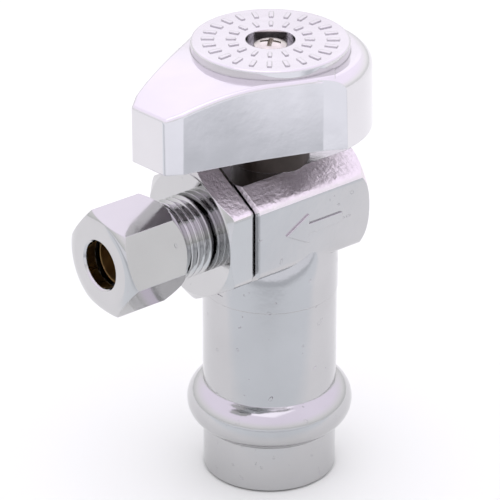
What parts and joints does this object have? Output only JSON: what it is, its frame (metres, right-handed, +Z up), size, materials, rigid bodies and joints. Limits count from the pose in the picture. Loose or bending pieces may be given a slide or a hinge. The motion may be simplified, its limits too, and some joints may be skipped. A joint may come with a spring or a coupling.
{
  "type": "angle stop valve",
  "caption": "Chrome-plated quarter-turn angle stop valve: press-type inlet socket, lever handle, and side outlet with a loose compression nut.",
  "frame": {"origin": "centre of the inlet socket's mouth, at the bottom of the valve", "axes": "+Z up along the inlet and the stem, +X out of the compression outlet"},
  "size_m": [0.0424, 0.0272, 0.0641],
  "materials": {
    "chrome": "bright plated",
    "brass": "machined",
    "steel": "stainless",
    "rubber": "moulded",
    "ptfe": "turned"
  },
  "bodies": {
    "valve": {"valve_body": "chrome", "outlet_adapter": "chrome", "adapter_oring": "rubber", "outlet_seat": "ptfe", "rear_seat": "ptfe", "seat_backing_oring": "rubber", "inlet_oring": "rubber"},
    "handle": {"handle": "chrome", "handle_screw": "steel", "stem": "brass", "stem_oring_lower": "rubber", "stem_oring_upper": "rubber", "stem_thrust_washer": "ptfe"},
    "ball": {"ball": "chrome"},
    "sleeve": {"compression_sleeve": "brass"},
    "nut": {"compression_nut": "chrome"}
  },
  "joints": [
    {"name": "handle_turn", "type": "hinge", "parent": "valve", "child": "handle", "pos_m": [0, 0, 0.0573], "axis": [0, 0, -1], "range_deg": [0, 90]},
    {"name": "ball_turn", "type": "hinge", "parent": "valve", "child": "ball", "pos_m": [0, 0, 0.0397], "axis": [0, 0, -1], "range_deg": [0, 90]},
    {"name": "sleeve_travel", "type": "slide", "parent": "valve", "child": "sleeve", "axis": [1, 0, 0], "range_m": [-0.0003, 0.0032]},
    {"name": "nut_turn", "type": "hinge", "parent": "sleeve", "child": "nut", "pos_m": [0.0238, 0, 0.0397], "axis": [1, 0, 0], "range_deg": [-90, 1080]}
  ],
  "couplings": [
    {"joint": "ball_turn", "follows": "handle_turn", "ratio": 1},
    {"joint": "sleeve_travel", "follows": "nut_turn", "m_per_rad": 0.00016843}
  ]
}
